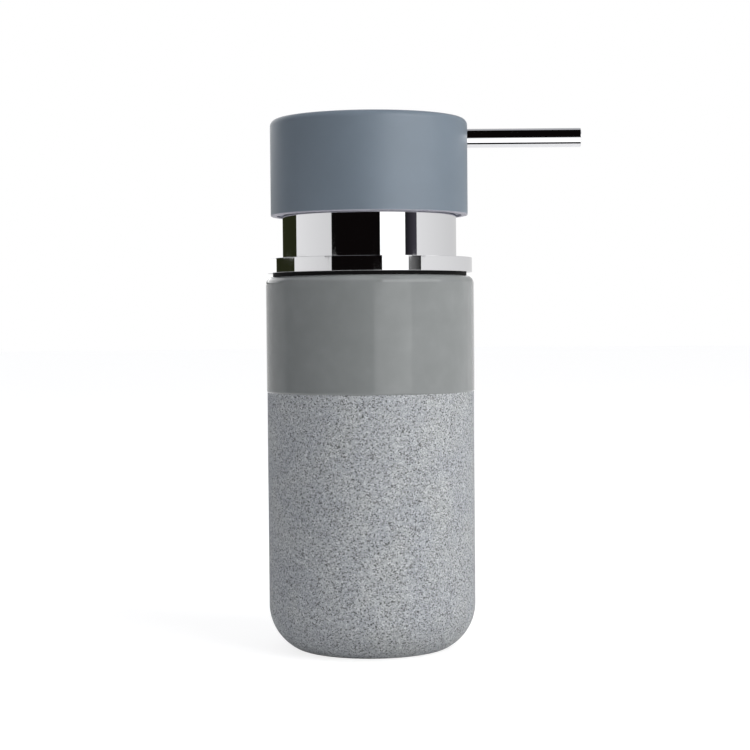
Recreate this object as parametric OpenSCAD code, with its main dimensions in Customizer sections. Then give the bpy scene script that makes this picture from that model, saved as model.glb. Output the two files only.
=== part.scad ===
// Soap pump dispenser: a stoneware bottle, a pump that pushes into its mouth,
// a wide cap that slides down over the neck, and a straight spout.
// Millimetres, +Z up, origin at the centre of the foot. The spout points along +X.

/* [Bottle] */
// Outside radius of the bottle
bottle_r = 35; // [30:0.5:42]
// Height of the bottle, from the table to its top deck
bottle_h = 125; // [105:1:160]
// Thickness of the side wall
bottle_wall = 4.5; // [3:0.1:6]
// Thickness of the floor above the foot recess
bottle_floor = 5; // [4:0.1:8]
// Thickness of the top deck
deck_t = 7; // [5:0.1:9]
// Radius of the round between the wall and the top deck
shoulder_round = 2.6; // [1:0.1:4]
// How far the foot curve comes in from the wall
foot_in = 10.5; // [10:0.5:16]
// How high the foot curve rises before it meets the wall
foot_rise = 14.8; // [14:0.1:24]
// Radius of the tight part of the foot curve, next to the table
foot_round = 4.6; // [4:0.1:10]
// Depth of the recess inside the foot ring
foot_recess = 1.2; // [0.5:0.1:2]
// Width of the foot ring that stands on the table
foot_ring_w = 5; // [3:0.5:8]
// Radius of the round between the inside wall and the inside floor
inside_round = 12; // [6:0.5:14.5]
// Radius of the round under the top deck, inside
deck_round = 5; // [2:0.5:6]

/* [Mouth insert] */
// Wall of the ring that is glued into the mouth
insert_wall = 2.3; // [1.5:0.1:3]
// Length of the ring, from the top deck down
insert_len = 14; // [9:0.5:16]
// How far the ring's top flange stands out from its wall
insert_flange_w = 3.2; // [2:0.1:4]
// Thickness of the ring's top flange
insert_flange_t = 1.2; // [0.8:0.1:2]
// Room for glue around the ring
glue_gap = 0.2; // [0.1:0.05:0.4]
// Number of glue grooves around the ring
glue_grooves = 3; // [1:1:3]

/* [Mouth seal] */
// Thickness of the seal between the collar and the top deck
seal_t = 1.2; // [0.8:0.1:2.5]
// How far the seal's edge stands back from the collar's edge
seal_setback = 1.85; // [0.8:0.05:4]
// Wall of the seal's skirt
seal_skirt_t = 1.4; // [1:0.1:2]
// Length of the seal's skirt
seal_skirt_len = 10; // [8:0.5:12]
// How far each rib stands out from the skirt
seal_rib_h = 0.5; // [0.3:0.05:1]
// Number of ribs on the skirt
seal_ribs = 3; // [2:1:4]

/* [Collar] */
// How far the collar's edge stands back from the bottle's side
collar_setback = 0.55; // [0.2:0.05:2]
// Height of the collar's flange
flange_h = 4.8; // [4:0.1:8]
// Wall of the collar shell
collar_wall = 1.6; // [1:0.1:2]
// Radius of the round on the flange's edges
flange_round = 0.2; // [0.2:0.05:0.9]
// Radius of the round on top of the neck
neck_round = 1.5; // [0.5:0.1:1.9]
// Wall of the plug that hangs into the mouth
plug_wall = 3.46; // [2:0.02:5]
// Length of the plug below the top deck
plug_len = 12; // [10:0.5:14.5]
// Thickness of the core's base plate
core_plate_t = 2; // [1.5:0.1:2.6]
// Wall of the core's tower
tower_wall = 2.2; // [1.6:0.1:2.8]
// Number of gussets around the core's tower
gussets = 8; // [4:1:12]
// Thickness of each gusset
gusset_t = 1.6; // [1.2:0.1:2.4]
// Height of each gusset
gusset_h = 11; // [6:0.1:13.5]

/* [Cap] */
// How far the cap's side stands back from the bottle's side
cap_setback = 1.85; // [1:0.05:4]
// How far the cap covers the neck when it is up
neck_cover = 5.7; // [3:0.1:9]
// Wall of the cap shell
cap_wall = 2; // [1.4:0.1:2.6]
// Thickness of the top of the cap shell
cap_top_t = 1.8; // [1.4:0.1:2.4]
// Radius of the round on the cap's top edge
cap_round = 2.2; // [1:0.1:3.2]
// Radius of the round on the cap's lower edge
cap_lip_round = 0.4; // [0.2:0.05:0.8]
// Wall of the liner sleeve inside the cap
sleeve_wall = 1.55; // [1.2:0.05:2.4]
// Gap between the liner sleeve and the neck
sleeve_gap = 0.35; // [0.2:0.05:1]
// How far the liner sleeve ends above the cap's lower edge
sleeve_step = 0.6; // [0.2:0.1:2]
// Thickness of the liner's deck
liner_deck_t = 1.6; // [1.2:0.1:2]
// Thickness of the liner's ribs and pocket walls
liner_rib_t = 1.4; // [1:0.1:2]

/* [Spout] */
// Reach of the spout, from the axis to its tip
spout_reach = 71.3; // [50:0.5:110]
// Outside diameter of the spout tube
spout_d = 6.35; // [5:0.05:7.7]
// Wall of the spout tube
spout_wall = 0.8; // [0.5:0.05:1.2]
// Thickness of the elbow above the spout bore
elbow_roof = 1.35; // [1.1:0.05:2.5]
// Radius of the elbow's socket around the stem
socket_r = 6.5; // [5.4:0.1:8]
// Depth of the elbow's socket around the stem
socket_depth = 8.3; // [5:0.1:12]
// How far the spout tube is held inside the elbow
spout_hold = 9.5; // [7:0.5:13]
// Diameter of the o-ring's section
o_ring_d = 0.84; // [0.6:0.02:1.1]

/* [Pump] */
// Travel of the cap from up to fully pressed
stroke = 12.5; // [8:0.5:18]
// Gap left between the cap and the collar when fully pressed
press_spare = 1.8; // [1:0.1:5]
// Gap left between the elbow and the stem guide when fully pressed
stop_gap = 0.5; // [0.3:0.1:2]
// Depth of the stem guide's top below the top of the neck
guide_depth = 4.8; // [3.6:0.1:8]
// Length of the stem guide
guide_len = 10.4; // [8:0.1:14]
// Room between the stem and the barrel's wall
barrel_room = 2.4; // [2:0.1:3.4]
// Wall of the barrel
barrel_wall = 1.2; // [0.9:0.1:1.6]
// Outside radius of the stem
stem_r = 3.6; // [3:0.05:4.4]
// Wall of the stem
stem_wall = 1.3; // [1:0.02:1.6]
// Height of the shoulder that stops the stem
shoulder_h = 3; // [2:0.1:5]
// Thickness of the flanges on the housing and the stem guide
pump_flange_t = 1.8; // [1.2:0.1:2.5]
// Radius of the flanges on the housing and the stem guide
pump_flange_r = 13; // [10.8:0.1:15.8]
// Thickness of the gasket under the housing's flange
gasket_t = 1; // [0.6:0.1:2]
// Free play of the piston seal on the stem, which works as the outlet valve
piston_play = 1; // [0.6:0.1:1.2]
// Length of the return spring when the cap is up
spring_len = 27; // [22:0.5:40]
// Diameter of the spring wire
wire_d = 0.9; // [0.6:0.02:1.1]
// Turns of the return spring
spring_turns = 8; // [5:0.5:10]
// Diameter of the inlet valve's ball
ball_d = 4.8; // [4:0.1:5.8]
// Lift of the inlet valve's ball
ball_lift = 1.5; // [0.8:0.1:3]
// Outside diameter of the dip tube
tube_d = 6; // [5:0.1:7.2]
// Wall of the dip tube
tube_wall = 0.8; // [0.5:0.1:1.2]
// Gap between the dip tube and the bottle's floor
tube_gap = 2; // [1:0.5:6]

/* [Fits] */
// Radial gap between pieces that run in each other
run_gap = 0.08; // [0.04:0.01:0.1]
// Radial gap between pieces that are pressed or snapped together
seat_gap = 0.04; // [0.01:0.01:0.08]

/* [Hidden] */
$fn = 96;
// Facets of the widest rounds and of the smallest ones
wide_fn = 180;
wire_fn = 32;
small_fn = 24;
// Amount by which a cut runs past a face
cut = 1;

// Radii, from the outside in
collar_r = bottle_r - collar_setback;
seal_r = collar_r - seal_setback;
cap_r = bottle_r - cap_setback;
sleeve_out_r = cap_r - cap_wall - seat_gap;
sleeve_in_r = sleeve_out_r - sleeve_wall;
neck_r = sleeve_in_r - sleeve_gap;
neck_in_r = neck_r - collar_wall;
// Hole in the neck's deck that the elbow's socket goes down through
socket_room = 0.9;
deck_hole_r = socket_r + socket_room;
tower_bore_r = pump_flange_r + seat_gap;
tower_r = tower_bore_r + tower_wall;
plug_r = tower_bore_r + plug_wall;
skirt_r = plug_r + seat_gap + seal_skirt_t;
rib_r = skirt_r + seal_rib_h;
insert_bore_r = rib_r + run_gap;
insert_r = insert_bore_r + insert_wall;
insert_flange_r = insert_r + insert_flange_w;
mouth_r = insert_r + glue_gap;
barrel_r = stem_r + barrel_room;
barrel_out_r = barrel_r + barrel_wall;
guide_bore_r = stem_r + run_gap;
stem_bore_r = stem_r - stem_wall;
cavity_r = bottle_r - bottle_wall;
foot_ring_r = bottle_r - foot_in;
spout_r = spout_d / 2;
spout_bore_r = spout_r + seat_gap;
ball_r = ball_d / 2;
tube_r = tube_d / 2;

// Elbow: the end of the tube's seat, its nose, and how far back from the nose the o-ring sits
tube_stop_x = 4;
elbow_nose = tube_stop_x + spout_hold;
elbow_half_w = socket_r;
o_ring_back = 3.2;
o_ring_x = elbow_nose - o_ring_back;
// Plastic between the stem's socket and the spout's bore
stem_roof = 0.4;

// Heights, from the table up
z_floor = foot_recess + bottle_floor;
z_seal_top = bottle_h + seal_t;
z_flange_top = z_seal_top + flange_h;
z_cap_bottom = z_flange_top + stroke + press_spare;
z_neck_top = z_cap_bottom + neck_cover;
z_neck_deck = z_neck_top - collar_wall;
z_guide_top = z_neck_top - guide_depth;
z_elbow_bottom = z_guide_top + stroke + stop_gap;
z_spout = z_elbow_bottom + socket_depth + seat_gap + stem_roof + spout_bore_r;
z_elbow_top = z_spout + spout_bore_r + elbow_roof;
z_cap_top = z_elbow_top + seat_gap + cap_top_t;
z_stem_top = z_elbow_bottom + socket_depth;
// Lowest height at which a head part clears the neck when fully pressed
head_room = 1;
z_head_clear = z_neck_top + stroke + head_room;
z_elbow_block = max(z_head_clear, z_elbow_bottom + head_room);

// Heights in the pump, from the guide down
z_housing_top = z_guide_top - pump_flange_t;
z_housing_flange = z_housing_top - pump_flange_t;
z_seat = z_housing_flange - gasket_t;
z_guide_bottom = z_guide_top - guide_len;
z_shoulder_top = z_guide_bottom - seat_gap;
z_shoulder_bottom = z_shoulder_top - shoulder_h;
z_piston_top = z_shoulder_bottom - piston_play - seat_gap;

// Wiper in the top of the stem guide
wiper_r = guide_bore_r + 1.52;
wiper_h = 1.4;

// Bead of the snap ring, and the play in the groove that it clicks into
snap_bead = 0.4;
snap_bead_h = 0.9;
snap_lift = 0.2;
snap_play = 0.1;

// Piston seal: its sleeve, its mouth and its skirt
piston_h = 9;
piston_sleeve_h = 6;
piston_mouth_h = 1.6;
mouth_step = 0.4;
piston_mouth_r = stem_bore_r + mouth_step;
z_mouth = z_piston_top - piston_sleeve_h - piston_mouth_h;
stem_spare = 0.1;
z_stem_bottom = z_piston_top - piston_sleeve_h + piston_play + stem_spare;

// Piston rod: its core, the cone that shuts the mouth, and the spring flange
rod_core_in = 0.6;
rod_core_r = stem_bore_r - rod_core_in;
cone_overlap = 1.5;
rod_cone_r = piston_mouth_r + cone_overlap;
rod_flange_t = 1.4;
rod_pilot_h = 1.5;
z_cone_top = z_mouth + piston_mouth_r - rod_core_r - seat_gap;
z_cone_bottom = z_cone_top - rod_cone_r + rod_core_r;
z_spring_top = z_cone_bottom - rod_flange_t;
z_spring_bottom = z_spring_top - spring_len;

// Inlet valve: the cage over the ball, and the cone under it
cage_t = 1.2;
throat_r = 1.3;
throat_len = 1.2;
ball_room = 0.7;
chamber_r = ball_r + ball_room;
z_barrel_floor = z_spring_bottom - cage_t;
z_ball = z_barrel_floor - ball_lift - seat_gap - ball_r;
z_valve_cone = z_ball - sqrt(2) * (ball_r + seat_gap);
z_tube_top = z_valve_cone + throat_r - throat_len;
tube_socket_len = 9;
tail_wall = 1.7;
tail_r = max(chamber_r, tube_r) + tail_wall;
z_tail = z_tube_top - tube_socket_len;
z_tube_end = z_floor + tube_gap;

// Foot curve: a wide arc from the wall and a tight arc to the table, which meet in line
foot_side_round = (foot_in * foot_in + pow(foot_rise - foot_round, 2) - foot_round * foot_round)
    / (2 * (foot_in - foot_round));

// Spring coil, its room in the barrel, and the radius of the seats that go up inside it
coil_room = 0.8;
seat_room = 0.3;
coil_r = barrel_r - coil_room - wire_d / 2;
spring_seat_r = coil_r - wire_d / 2 - seat_room;
coil_steps = 18;
wire_sides = 8;

// A block from the axis out to radius r, with rounds on its outer corners
module turned_block(r, low, high, round_low, round_high) {
    difference() {
        translate([0, low])
            square([r, high - low]);
        if (round_low > 0)
            corner_cut(r, low, round_low, 1);
        if (round_high > 0)
            corner_cut(r, high, round_high, -1);
    }
}

// What a round of radius c takes off a corner at (r, z); side is 1 for a lower corner
module corner_cut(r, z, c, side) {
    difference() {
        translate([r - c, side > 0 ? z - cut : z - c])
            square([c + cut, c + cut]);
        translate([r - c, z + side * c])
            circle(c);
    }
}

// A ring from radius a to radius b between two heights
module ring(a, b, low, high) {
    difference() {
        translate([0, 0, low])
            cylinder(r = b, h = high - low);
        translate([0, 0, low - cut])
            cylinder(r = a, h = high - low + 2 * cut);
    }
}

// Everything between two directions from a centre, out to a distance
module sector(centre, from_deg, to_deg, reach) {
    mid = (from_deg + to_deg) / 2;
    mid_reach = 1.3 * reach;
    polygon([centre,
        centre + reach * [cos(from_deg), sin(from_deg)],
        centre + mid_reach * [cos(mid), sin(mid)],
        centre + reach * [cos(to_deg), sin(to_deg)]]);
}

// The outline of the bottle's outside, from the axis out
module bottle_outline() {
    tight = [foot_ring_r, foot_round];
    wide = [bottle_r - foot_side_round, foot_rise];
    meet_deg = atan2(tight[1] - wide[1], tight[0] - wide[0]);
    turned_block(foot_ring_r, 0, bottle_h, 0, 0);
    turned_block(bottle_r, foot_rise, bottle_h, 0, shoulder_round);
    intersection() {
        translate(wide)
            circle(foot_side_round, $fn = wide_fn);
        sector(wide, meet_deg, 0, 2 * foot_side_round);
        square([bottle_r + cut, bottle_h]);
    }
    intersection() {
        translate(tight)
            circle(foot_round);
        sector(tight, -90, meet_deg, 2 * foot_round);
    }
}

module ceramic_bottle() {
    color([0.68, 0.68, 0.67])
        difference() {
            rotate_extrude()
                bottle_outline();
            rotate_extrude()
                turned_block(cavity_r, z_floor, bottle_h - deck_t, inside_round, deck_round);
            translate([0, 0, bottle_h - deck_t - cut])
                cylinder(r = mouth_r, h = deck_t + 2 * cut);
            translate([0, 0, bottle_h - insert_flange_t])
                cylinder(r = insert_flange_r + glue_gap, h = insert_flange_t + cut);
            translate([0, 0, -cut])
                cylinder(r = foot_ring_r - foot_ring_w, h = foot_recess + cut);
        }
}

module mouth_insert() {
    groove_d = 0.5;
    groove_h = 1.2;
    pitch = (insert_len - insert_flange_t) / (glue_grooves + 1);
    color([0.85, 0.85, 0.83])
        difference() {
            union() {
                ring(insert_bore_r, insert_r, bottle_h - insert_len, bottle_h);
                ring(insert_bore_r, insert_flange_r, bottle_h - insert_flange_t, bottle_h);
            }
            for (i = [1 : glue_grooves])
                ring(insert_r - groove_d, insert_r + cut,
                    bottle_h - insert_len + i * pitch - groove_h / 2,
                    bottle_h - insert_len + i * pitch + groove_h / 2);
        }
}

module mouth_seal() {
    rib_t = 1.2;
    pitch = seal_skirt_len / seal_ribs;
    bore = plug_r + seat_gap;
    color([0.08, 0.08, 0.09])
        union() {
            ring(bore, seal_r, bottle_h, z_seal_top);
            ring(bore, skirt_r, bottle_h - seal_skirt_len, z_seal_top);
            for (i = [0 : seal_ribs - 1])
                ring(bore, rib_r, bottle_h - seal_skirt_len + i * pitch + rib_t / 2,
                    bottle_h - seal_skirt_len + i * pitch + 3 * rib_t / 2);
        }
}

module collar_shell() {
    color([0.8, 0.81, 0.83])
        difference() {
            rotate_extrude($fn = wide_fn)
                difference() {
                    union() {
                        turned_block(collar_r, z_seal_top, z_flange_top, flange_round, flange_round);
                        turned_block(neck_r, z_seal_top, z_neck_top, 0, neck_round);
                    }
                    turned_block(collar_r - collar_wall, z_seal_top - cut,
                        z_flange_top - collar_wall, 0, 0);
                    turned_block(neck_in_r, z_seal_top - cut, z_neck_deck, 0, 0);
                }
            translate([0, 0, z_neck_deck - cut])
                cylinder(r = deck_hole_r, h = collar_wall + 2 * cut);
        }
}

module collar_core() {
    z_plate_top = z_seal_top + core_plate_t;
    rim_t = 1.5;
    rim_h = 6;
    seat_ledge_t = 2;
    color([0.88, 0.88, 0.86])
        difference() {
            union() {
                ring(tower_bore_r, plug_r, bottle_h - plug_len, z_plate_top);
                ring(tower_bore_r, collar_r - collar_wall - seat_gap, z_seal_top, z_plate_top);
                ring(tower_bore_r, tower_r, z_seal_top, z_neck_deck - seat_gap);
                ring(barrel_out_r + seat_gap, tower_bore_r + cut, z_seat - seat_ledge_t, z_seat);
                ring(neck_in_r - seat_gap - rim_t, neck_in_r - seat_gap, z_seal_top,
                    z_plate_top + rim_h);
                for (i = [0 : gussets - 1])
                    rotate([0, 0, (i + 0.5) * 360 / gussets])
                        translate([tower_r - cut, -gusset_t / 2, z_seal_top])
                            cube([neck_in_r - tower_r, gusset_t, core_plate_t + gusset_h]);
            }
            // Groove that the snap ring's bead clicks into
            ring(tower_bore_r - cut, tower_bore_r + snap_bead + snap_play, z_guide_top + seat_gap,
                z_guide_top + snap_lift + snap_bead_h + snap_play);
        }
}

module housing_gasket() {
    color([0.1, 0.1, 0.11])
        ring(barrel_out_r + seat_gap, pump_flange_r, z_seat, z_housing_flange);
}

module pump_housing() {
    vent_r = 0.7;
    step_h = 2;
    color([0.93, 0.94, 0.94])
        difference() {
            rotate_extrude()
                polygon([
                    [throat_r, z_tail],
                    [tail_r, z_tail],
                    [tail_r, z_barrel_floor - step_h],
                    [barrel_out_r, z_barrel_floor],
                    [barrel_out_r, z_housing_flange],
                    [pump_flange_r, z_housing_flange],
                    [pump_flange_r, z_housing_top],
                    [barrel_r, z_housing_top],
                    [barrel_r, z_barrel_floor],
                    [chamber_r, z_barrel_floor],
                    [chamber_r, z_valve_cone + chamber_r],
                    [throat_r, z_valve_cone + throat_r]]);
            translate([0, 0, z_tail - cut])
                cylinder(r = tube_r + seat_gap, h = tube_socket_len + cut);
            // Air hole that the piston seal leaves open only while the cap is down
            translate([0, 0, z_shoulder_top - shoulder_h / 2])
                rotate([0, 90, 0])
                    cylinder(r = vent_r, h = barrel_out_r + cut, $fn = small_fn);
        }
}

module stem_guide() {
    color([0.9, 0.91, 0.92])
        difference() {
            union() {
                ring(guide_bore_r, pump_flange_r, z_housing_top, z_guide_top);
                ring(guide_bore_r, barrel_r - seat_gap, z_guide_bottom, z_guide_top);
            }
            translate([0, 0, z_guide_top - wiper_h])
                cylinder(r = wiper_r + seat_gap, h = wiper_h + cut);
        }
}

module stem_wiper() {
    lip_h = 0.5;
    lip_in = 0.6;
    color([0.12, 0.12, 0.13])
        difference() {
            ring(guide_bore_r, wiper_r, z_guide_top - wiper_h, z_guide_top);
            translate([0, 0, z_guide_top - wiper_h + lip_h])
                cylinder(r = guide_bore_r + lip_in, h = wiper_h);
        }
}

module snap_ring() {
    z_bead = z_guide_top + snap_lift;
    color([0.86, 0.87, 0.88])
        union() {
            ring(deck_hole_r, pump_flange_r, z_guide_top, z_neck_deck);
            ring(pump_flange_r - cut, pump_flange_r + snap_bead, z_bead, z_bead + snap_bead_h);
        }
}

module ball_cage() {
    crown_h = 2;
    port_r = 0.75;
    port_in = 0.1;
    ports = 6;
    color([0.92, 0.92, 0.9])
        difference() {
            union() {
                translate([0, 0, z_barrel_floor])
                    cylinder(r = barrel_r - seat_gap, h = cage_t);
                ring(chamber_r, spring_seat_r, z_barrel_floor, z_spring_bottom + crown_h);
            }
            for (i = [0 : ports - 1])
                rotate([0, 0, i * 360 / ports])
                    translate([chamber_r - port_r - port_in, 0, z_barrel_floor - cut])
                        cylinder(r = port_r, h = cage_t + 2 * cut, $fn = wire_fn);
        }
}

module dip_tube() {
    slant_deg = 35;
    block = 2 * tube_d;
    color([0.93, 0.94, 0.95])
        difference() {
            ring(tube_r - tube_wall, tube_r, z_tube_end, z_tube_top - seat_gap);
            // Slanted end, so that the tube can't seal itself against the floor
            translate([tube_r, 0, z_tube_end])
                rotate([0, -slant_deg, 0])
                    translate([-block, -block / 2, -block])
                        cube(block);
        }
}

module inlet_ball() {
    color([0.75, 0.76, 0.78])
        translate([0, 0, z_ball])
            sphere(ball_r);
}

// One ring of points around the wire, a share t of the way up the coil
function wire_ring(t) = [
    for (j = [0 : wire_sides - 1])
        let (
            turn = 360 * spring_turns * t,
            side = 360 * j / wire_sides,
            out = coil_r + wire_d / 2 * cos(side),
            rise = z_spring_bottom + seat_gap + wire_d / 2 + t * (spring_len - wire_d - 2 * seat_gap)
        )
        [out * cos(turn), out * sin(turn), rise + wire_d / 2 * sin(side)]
];

module return_spring() {
    rings = round(spring_turns * coil_steps);
    points = [for (i = [0 : rings]) each wire_ring(i / rings)];
    sides = [
        for (i = [0 : rings - 1])
            for (j = [0 : wire_sides - 1])
                let (a = i * wire_sides + j, b = i * wire_sides + (j + 1) % wire_sides)
                [a, a + wire_sides, b + wire_sides, b]
    ];
    first_end = [for (j = [0 : wire_sides - 1]) j];
    last_end = [for (j = [wire_sides - 1 : -1 : 0]) rings * wire_sides + j];
    color([0.7, 0.71, 0.73])
        polyhedron(points = points, faces = concat([first_end], sides, [last_end]), convexity = 10);
}

module piston_seal() {
    sleeve_t = 0.9;
    skirt_t = 0.55;
    lip_t = 0.8;
    lip_out = 0.3;
    sleeve_r = guide_bore_r + sleeve_t;
    lip_r = barrel_r - run_gap;
    skirt_out = lip_r - lip_out;
    skirt_in = skirt_out - skirt_t;
    web_top = 2.6;
    web_t = 1.6;
    color([0.95, 0.95, 0.93])
        translate([0, 0, z_piston_top])
            rotate_extrude()
                polygon([
                    [guide_bore_r, 0],
                    [sleeve_r, 0],
                    [sleeve_r, -web_top],
                    [skirt_in, -web_top],
                    [skirt_in + lip_out, 0],
                    [lip_r, 0],
                    [lip_r, -lip_t],
                    [skirt_out, -2 * lip_t],
                    [skirt_out, -piston_h + 2 * lip_t],
                    [lip_r, -piston_h + lip_t],
                    [lip_r, -piston_h],
                    [skirt_in + lip_out, -piston_h],
                    [skirt_in, -web_top - web_t],
                    [sleeve_r, -web_top - web_t],
                    [sleeve_r, -piston_sleeve_h - piston_mouth_h],
                    [piston_mouth_r, -piston_sleeve_h - piston_mouth_h],
                    [piston_mouth_r, -piston_sleeve_h - piston_mouth_h / 2],
                    [guide_bore_r, -piston_sleeve_h]]);
}

module piston_rod() {
    plug_h = 8;
    z_plug_top = z_stem_bottom + plug_h;
    flute_r = 0.8;
    flutes = 4;
    z_flute = z_cone_top + 0.6;
    notch_w = 1.6;
    pilot_taper = 0.5;
    flange_room = 0.7;
    flange_r = barrel_r - flange_room;
    color([0.9, 0.9, 0.88])
        difference() {
            rotate_extrude()
                polygon([
                    [0, z_spring_top - rod_pilot_h],
                    [spring_seat_r - pilot_taper, z_spring_top - rod_pilot_h],
                    [spring_seat_r, z_spring_top],
                    [flange_r, z_spring_top],
                    [flange_r, z_cone_bottom],
                    [rod_cone_r, z_cone_bottom],
                    [rod_core_r, z_cone_top],
                    [rod_core_r, z_stem_bottom],
                    [stem_bore_r - seat_gap, z_stem_bottom],
                    [stem_bore_r - seat_gap, z_plug_top],
                    [0, z_plug_top]]);
            // Flutes that let the soap past the plug in the stem
            for (i = [0 : flutes - 1])
                rotate([0, 0, i * 360 / flutes])
                    translate([stem_bore_r, 0, z_flute])
                        cylinder(r = flute_r, h = z_plug_top + cut - z_flute, $fn = small_fn);
            // Notches that let the soap past the spring flange
            for (i = [0 : flutes - 1])
                rotate([0, 0, (i + 0.5) * 360 / flutes])
                    translate([rod_cone_r, -notch_w / 2, z_spring_top - cut])
                        cube([barrel_r, notch_w, rod_flange_t + 2 * cut]);
        }
}

module stem() {
    stop_room = 0.6;
    stop_r = barrel_r - stop_room;
    lead = 0.4;
    color([0.93, 0.93, 0.92])
        rotate_extrude()
            polygon([
                [stem_bore_r, z_stem_bottom],
                [stem_r, z_stem_bottom],
                [stem_r, z_shoulder_bottom],
                [stop_r, z_shoulder_bottom],
                [stop_r, z_shoulder_top],
                [stem_r, z_shoulder_top],
                [stem_r, z_stem_top - lead],
                [stem_r - lead, z_stem_top],
                [stem_bore_r, z_stem_top]]);
}

// A cylinder along +X at the height of the spout, from x = a to x = b
module along_spout(r, a, b) {
    translate([a, 0, z_spout])
        rotate([0, 90, 0])
            cylinder(r = r, h = b - a);
}

// A block on top of the stem that the spout tube is pushed into
module spout_elbow() {
    groove_play = 0.4;
    groove_w = o_ring_d + groove_play;
    color([0.3, 0.31, 0.33])
        difference() {
            union() {
                translate([0, 0, z_elbow_bottom])
                    cylinder(r = socket_r, h = z_elbow_top - z_elbow_bottom);
                translate([-elbow_half_w, -elbow_half_w, z_elbow_block])
                    cube([elbow_half_w + elbow_nose, 2 * elbow_half_w, z_elbow_top - z_elbow_block]);
            }
            translate([0, 0, z_elbow_bottom - cut])
                cylinder(r = stem_r + seat_gap, h = socket_depth + seat_gap + cut);
            translate([0, 0, z_elbow_bottom])
                cylinder(r = stem_bore_r, h = z_spout - z_elbow_bottom);
            along_spout(stem_bore_r, 0, elbow_nose);
            translate([0, 0, z_spout])
                sphere(stem_bore_r);
            along_spout(spout_bore_r, tube_stop_x, elbow_nose + cut);
            along_spout(spout_r + o_ring_d + 2 * seat_gap, o_ring_x - groove_w / 2,
                o_ring_x + groove_w / 2);
        }
}

module spout_o_ring() {
    color([0.1, 0.1, 0.1])
        translate([o_ring_x, 0, z_spout])
            rotate([0, 90, 0])
                rotate_extrude()
                    translate([spout_r + seat_gap + o_ring_d / 2, 0])
                        circle(d = o_ring_d, $fn = wire_fn);
}

module spout_tube() {
    start = tube_stop_x + seat_gap;
    bore = spout_r - spout_wall;
    edge = 0.15;
    color([0.82, 0.83, 0.85])
        translate([0, 0, z_spout])
            rotate([0, 90, 0])
                rotate_extrude()
                    polygon([
                        [bore, start],
                        [spout_r, start],
                        [spout_r, spout_reach - edge],
                        [spout_r - edge, spout_reach],
                        [bore + edge, spout_reach],
                        [bore, spout_reach - edge]]);
}

module cap_liner() {
    z_top = z_elbow_top;
    z_deck = z_top - liner_deck_t;
    pocket = elbow_half_w + seat_gap;
    nose = elbow_nose + seat_gap;
    ribs = 6;
    rib_len = sleeve_in_r - pocket + 0.5;
    color([0.55, 0.57, 0.63])
        difference() {
            union() {
                ring(sleeve_in_r, sleeve_out_r, z_cap_bottom + sleeve_step, z_top);
                translate([0, 0, z_deck])
                    cylinder(r = sleeve_out_r, h = liner_deck_t);
                translate([-pocket - liner_rib_t, -pocket - liner_rib_t, z_elbow_block])
                    cube([pocket + nose + 2 * liner_rib_t, 2 * (pocket + liner_rib_t),
                        z_top - z_elbow_block]);
                for (i = [0 : ribs - 1])
                    rotate([0, 0, (i + 0.5) * 360 / ribs])
                        translate([pocket, -liner_rib_t / 2, z_head_clear])
                            cube([rib_len, liner_rib_t, z_top - z_head_clear]);
            }
            // Pocket that the elbow sits in
            translate([-pocket, -pocket, z_elbow_block - cut])
                cube([pocket + nose, 2 * pocket, z_top - z_elbow_block + 2 * cut]);
            along_spout(spout_bore_r, elbow_nose, cap_r + cut);
        }
}

module cap_shell() {
    color([0.45, 0.5, 0.55])
        difference() {
            rotate_extrude($fn = wide_fn)
                difference() {
                    turned_block(cap_r, z_cap_bottom, z_cap_top, cap_lip_round, cap_round);
                    turned_block(cap_r - cap_wall, z_cap_bottom - cut, z_cap_top - cap_top_t, 0, 0);
                }
            along_spout(spout_bore_r, elbow_nose, cap_r + cut);
        }
}

ceramic_bottle();
mouth_insert();
mouth_seal();
collar_shell();
collar_core();
housing_gasket();
pump_housing();
stem_guide();
stem_wiper();
snap_ring();
ball_cage();
dip_tube();
inlet_ball();
return_spring();
piston_seal();
piston_rod();
stem();
spout_elbow();
spout_o_ring();
spout_tube();
cap_liner();
cap_shell();
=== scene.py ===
"""Soap pump dispenser: the looks, built around the packed frame. All lengths are in metres."""

import math

import bmesh
import bpy
from mathutils import Matrix, Vector, noise


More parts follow.
